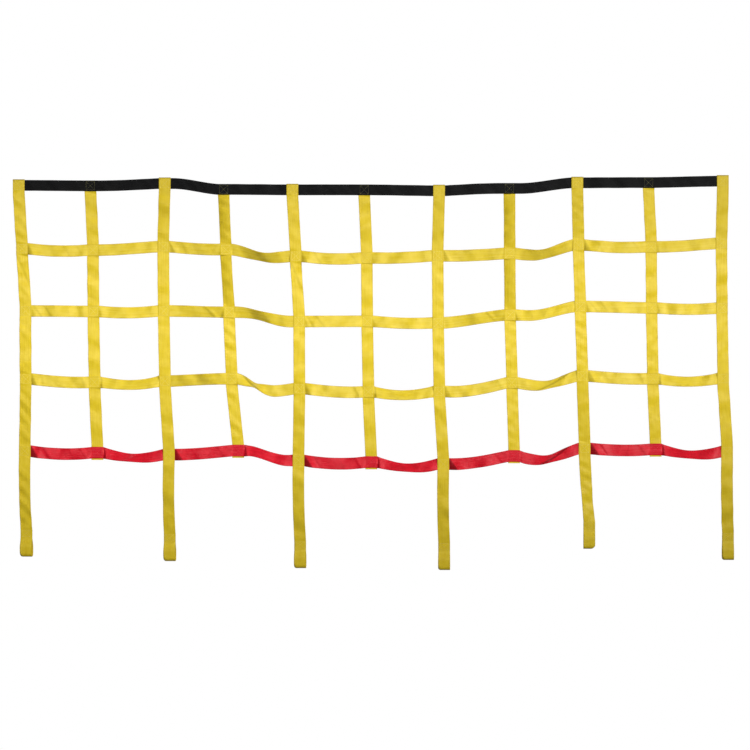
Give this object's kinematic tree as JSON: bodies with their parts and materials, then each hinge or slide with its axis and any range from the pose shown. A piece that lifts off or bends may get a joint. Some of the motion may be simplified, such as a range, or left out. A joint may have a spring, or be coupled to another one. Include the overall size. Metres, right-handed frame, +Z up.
{
  "type": "cargo climbing net",
  "caption": "Cargo climbing net of flat yellow webbing in a square grid, with a black header strap, a red bottom strap and free tails that end in sewn loops.",
  "frame": {"origin": "on the centre line of the header strap, halfway along the header", "axes": "+X along the header to the climber's right, -Y towards the climber, +Z up"},
  "size_m": [3.0718, 0.032, 1.6837],
  "materials": {
    "webbing_yellow": "satin woven polyester",
    "webbing_black": "satin woven polyester",
    "webbing_red": "satin woven polyester",
    "thread_olive": "twisted polyester thread",
    "thread_yellow": "twisted polyester thread",
    "thread_red": "twisted polyester thread"
  },
  "bodies": {
    "header": {"header_strap": "webbing_black", "header_stitching": "thread_olive", "strap_01_top": "webbing_yellow", "strap_02_top": "webbing_yellow", "strap_03_top": "webbing_yellow", "strap_04_top": "webbing_yellow", "strap_05_top": "webbing_yellow", "strap_06_top": "webbing_yellow", "strap_07_top": "webbing_yellow", "strap_08_top": "webbing_yellow", "strap_09_top": "webbing_yellow", "strap_10_top": "webbing_yellow", "strap_11_top": "webbing_yellow"},
    "upper_net": {"cross_strap_1": "webbing_yellow", "cross_strap_2": "webbing_yellow", "cross_1_stitching": "thread_yellow", "cross_2_stitching": "thread_yellow", "strap_01_upper": "webbing_yellow", "strap_02_upper": "webbing_yellow", "strap_03_upper": "webbing_yellow", "strap_04_upper": "webbing_yellow", "strap_05_upper": "webbing_yellow", "strap_06_upper": "webbing_yellow", "strap_07_upper": "webbing_yellow", "strap_08_upper": "webbing_yellow", "strap_09_upper": "webbing_yellow", "strap_10_upper": "webbing_yellow", "strap_11_upper": "webbing_yellow"},
    "lower_net": {"cross_strap_3": "webbing_yellow", "bottom_strap": "webbing_red", "cross_3_stitching": "thread_yellow", "bottom_stitching": "thread_red", "strap_01_lower": "webbing_yellow", "strap_02_lower": "webbing_yellow", "strap_03_lower": "webbing_yellow", "strap_04_lower": "webbing_yellow", "strap_05_lower": "webbing_yellow", "strap_06_lower": "webbing_yellow", "strap_07_lower": "webbing_yellow", "strap_08_lower": "webbing_yellow", "strap_09_lower": "webbing_yellow", "strap_10_lower": "webbing_yellow", "strap_11_lower": "webbing_yellow"},
    "tail_01_body": {"tail_01": "webbing_yellow", "tail_01_stitching": "thread_yellow"},
    "tail_03_body": {"tail_03": "webbing_yellow", "tail_03_stitching": "thread_yellow"},
    "tail_05_body": {"tail_05": "webbing_yellow", "tail_05_stitching": "thread_yellow"},
    "tail_07_body": {"tail_07": "webbing_yellow", "tail_07_stitching": "thread_yellow"},
    "tail_09_body": {"tail_09": "webbing_yellow", "tail_09_stitching": "thread_yellow"},
    "tail_11_body": {"tail_11": "webbing_yellow", "tail_11_stitching": "thread_yellow"}
  },
  "joints": [
    {"name": "net_swing", "type": "hinge", "parent": "header", "child": "upper_net", "pos_m": [0, 0, -0.038], "axis": [1, 0, 0], "range_deg": [-80, 80]},
    {"name": "net_fold", "type": "hinge", "parent": "upper_net", "child": "lower_net", "pos_m": [0, 0, -0.678], "axis": [1, 0, 0], "range_deg": [-110, 110]},
    {"name": "tail_01_swing", "type": "hinge", "parent": "lower_net", "child": "tail_01_body", "pos_m": [-1.474, -0.002, -1.144], "axis": [1, 0, 0], "range_deg": [-90, 90]},
    {"name": "tail_03_swing", "type": "hinge", "parent": "lower_net", "child": "tail_03_body", "pos_m": [-0.86, -0.002, -1.159], "axis": [1, 0, 0], "range_deg": [-90, 90]},
    {"name": "tail_05_swing", "type": "hinge", "parent": "lower_net", "child": "tail_05_body", "pos_m": [-0.308, -0.002, -1.184], "axis": [1, 0, 0], "range_deg": [-90, 90]},
    {"name": "tail_07_swing", "type": "hinge", "parent": "lower_net", "child": "tail_07_body", "pos_m": [0.309, -0.002, -1.199], "axis": [1, 0, 0], "range_deg": [-90, 90]},
    {"name": "tail_09_swing", "type": "hinge", "parent": "lower_net", "child": "tail_09_body", "pos_m": [0.911, -0.002, -1.133], "axis": [1, 0, 0], "range_deg": [-90, 90]},
    {"name": "tail_11_swing", "type": "hinge", "parent": "lower_net", "child": "tail_11_body", "pos_m": [1.518, -0.002, -1.146], "axis": [1, 0, 0], "range_deg": [-90, 90]}
  ]
}
